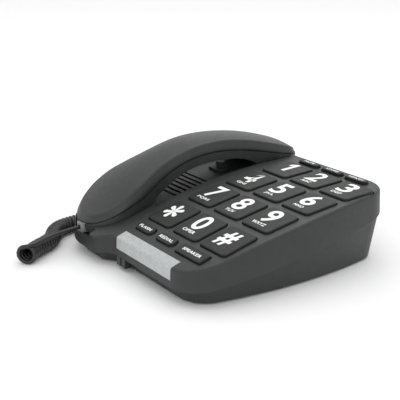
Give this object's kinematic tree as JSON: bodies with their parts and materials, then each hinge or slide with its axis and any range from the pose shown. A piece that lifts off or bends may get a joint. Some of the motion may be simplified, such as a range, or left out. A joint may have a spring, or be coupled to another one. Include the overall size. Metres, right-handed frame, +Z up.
{
  "type": "corded desk telephone",
  "caption": "Big-button corded desk telephone with a handset in a bay at its left, a speaker grille, a ringer lens across the front edge and a coiled handset cord.",
  "frame": {"origin": "middle of the base's footprint, at the bottom of the rubber feet", "axes": "+X to the user's right, +Y from the user towards the back, +Z up"},
  "size_m": [0.1964, 0.2406, 0.0746],
  "materials": {
    "base_casing": "moulded black ABS with a fine spark-eroded grain",
    "handset_casing": "moulded black ABS, satin, with a finer grain",
    "key_plastic": "moulded black ABS keys with printed white marks",
    "lens_plastic": "frosted clear polycarbonate",
    "rubber": "black moulded rubber",
    "key_mat": "grey silicone rubber",
    "circuit_board": "green glass-epoxy board",
    "components": "moulded component cases",
    "steel": "zinc-plated steel",
    "speaker_metal": "pressed steel frame",
    "speaker_paper": "pressed black paper pulp",
    "socket_plastic": "moulded black socket",
    "plug_plastic": "clear polycarbonate",
    "cord_jacket": "black PVC, satin",
    "lamp_epoxy": "tinted clear epoxy",
    "switch_plastic": "moulded black nylon"
  },
  "bodies": {
    "base": {"upper_casing": "base_casing", "lower_casing": "base_casing", "handset_hanger": "base_casing", "cord_keeper": "base_casing", "ringer_lens": "lens_plastic", "keypad_board": "circuit_board", "main_board": "circuit_board", "lamp_board": "circuit_board", "keypad_mat": "key_mat", "board_components": "components", "base_microphone": "components", "ringer_lamp_1": "lamp_epoxy", "ringer_lamp_2": "lamp_epoxy", "ringer_lamp_3": "lamp_epoxy", "loudspeaker": "speaker_metal", "speaker_cone": "speaker_paper", "hook_switch": "socket_plastic", "line_jack": "socket_plastic", "cord_jack": "socket_plastic", "ringer_slide_switch": "socket_plastic", "dial_mode_slide_switch": "socket_plastic", "rubber_feet": "rubber", "casing_screws": "steel", "base_plug": "plug_plastic", "cord_lead": "cord_jacket", "cord_coil": "cord_jacket", "cord_tail": "cord_jacket"},
    "handset": {"handset_upper_shell": "handset_casing", "handset_lower_shell": "handset_casing", "receiver_capsule": "components", "transmitter_microphone": "components", "microphone_gasket": "rubber", "ballast_weight": "steel", "handset_screws": "steel", "handset_jack": "socket_plastic", "handset_plug": "plug_plastic"},
    "hook_plunger": {"hook_plunger": "switch_plastic"},
    "key_star": {"key_star": "key_plastic"},
    "key_0": {"key_0": "key_plastic"},
    "key_hash": {"key_hash": "key_plastic"},
    "key_7": {"key_7": "key_plastic"},
    "key_8": {"key_8": "key_plastic"},
    "key_9": {"key_9": "key_plastic"},
    "key_4": {"key_4": "key_plastic"},
    "key_5": {"key_5": "key_plastic"},
    "key_6": {"key_6": "key_plastic"},
    "key_1": {"key_1": "key_plastic"},
    "key_2": {"key_2": "key_plastic"},
    "key_3": {"key_3": "key_plastic"},
    "key_flash": {"key_flash": "key_plastic"},
    "key_redial": {"key_redial": "key_plastic"},
    "key_speaker": {"key_speaker": "key_plastic"},
    "key_mute": {"key_mute": "key_plastic"},
    "key_store": {"key_store": "key_plastic"},
    "key_memory": {"key_memory": "key_plastic"},
    "ringer_slide": {"ringer_slide": "switch_plastic"},
    "dial_mode_slide": {"dial_mode_slide": "switch_plastic"}
  },
  "joints": [
    {"name": "handset_lift", "type": "slide", "parent": "base", "child": "handset", "axis": [0, 0, 1], "range_m": [0, 0.08]},
    {"name": "hook_travel", "type": "slide", "parent": "base", "child": "hook_plunger", "axis": [0, -0.1452, 0.9894], "range_m": [0, 0.004]},
    {"name": "press_star", "type": "slide", "parent": "base", "child": "key_star", "axis": [0, 0.251, -0.968], "range_m": [0, 0.0015], "stiffness_N_per_m": 500},
    {"name": "press_0", "type": "slide", "parent": "base", "child": "key_0", "axis": [0, 0.251, -0.968], "range_m": [0, 0.0015], "stiffness_N_per_m": 500},
    {"name": "press_hash", "type": "slide", "parent": "base", "child": "key_hash", "axis": [0, 0.251, -0.968], "range_m": [0, 0.0015], "stiffness_N_per_m": 500},
    {"name": "press_7", "type": "slide", "parent": "base", "child": "key_7", "axis": [0, 0.1854, -0.9827], "range_m": [0, 0.0015], "stiffness_N_per_m": 500},
    {"name": "press_8", "type": "slide", "parent": "base", "child": "key_8", "axis": [0, 0.1854, -0.9827], "range_m": [0, 0.0015], "stiffness_N_per_m": 500},
    {"name": "press_9", "type": "slide", "parent": "base", "child": "key_9", "axis": [0, 0.1854, -0.9827], "range_m": [0, 0.0015], "stiffness_N_per_m": 500},
    {"name": "press_4", "type": "slide", "parent": "base", "child": "key_4", "axis": [0, 0.1198, -0.9928], "range_m": [0, 0.0015], "stiffness_N_per_m": 500},
    {"name": "press_5", "type": "slide", "parent": "base", "child": "key_5", "axis": [0, 0.1198, -0.9928], "range_m": [0, 0.0015], "stiffness_N_per_m": 500},
    {"name": "press_6", "type": "slide", "parent": "base", "child": "key_6", "axis": [0, 0.1198, -0.9928], "range_m": [0, 0.0015], "stiffness_N_per_m": 500},
    {"name": "press_1", "type": "slide", "parent": "base", "child": "key_1", "axis": [0, 0.0542, -0.9985], "range_m": [0, 0.0015], "stiffness_N_per_m": 500},
    {"name": "press_2", "type": "slide", "parent": "base", "child": "key_2", "axis": [0, 0.0542, -0.9985], "range_m": [0, 0.0015], "stiffness_N_per_m": 500},
    {"name": "press_3", "type": "slide", "parent": "base", "child": "key_3", "axis": [0, 0.0542, -0.9985], "range_m": [0, 0.0015], "stiffness_N_per_m": 500},
    {"name": "press_flash", "type": "slide", "parent": "base", "child": "key_flash", "axis": [0, 0.2944, -0.9557], "range_m": [0, 0.0015], "stiffness_N_per_m": 500},
    {"name": "press_redial", "type": "slide", "parent": "base", "child": "key_redial", "axis": [0, 0.2944, -0.9557], "range_m": [0, 0.0015], "stiffness_N_per_m": 500},
    {"name": "press_speaker", "type": "slide", "parent": "base", "child": "key_speaker", "axis": [0, 0.2944, -0.9557], "range_m": [0, 0.0015], "stiffness_N_per_m": 500},
    {"name": "press_mute", "type": "slide", "parent": "base", "child": "key_mute", "axis": [0, 0.0112, -0.9999], "range_m": [0, 0.0015], "stiffness_N_per_m": 500},
    {"name": "press_store", "type": "slide", "parent": "base", "child": "key_store", "axis": [0, 0.0112, -0.9999], "range_m": [0, 0.0015], "stiffness_N_per_m": 500},
    {"name": "press_memory", "type": "slide", "parent": "base", "child": "key_memory", "axis": [0, 0.0112, -0.9999], "range_m": [0, 0.0015], "stiffness_N_per_m": 500},
    {"name": "ringer_slide_throw", "type": "slide", "parent": "base", "child": "ringer_slide", "axis": [1, 0, 0], "range_m": [0, 0.0044]},
    {"name": "dial_mode_slide_throw", "type": "slide", "parent": "base", "child": "dial_mode_slide", "axis": [1, 0, 0], "range_m": [0, 0.0044]}
  ],
  "couplings": [
    {"joint": "hook_travel", "follows": "handset_lift", "ratio": 0.05}
  ]
}
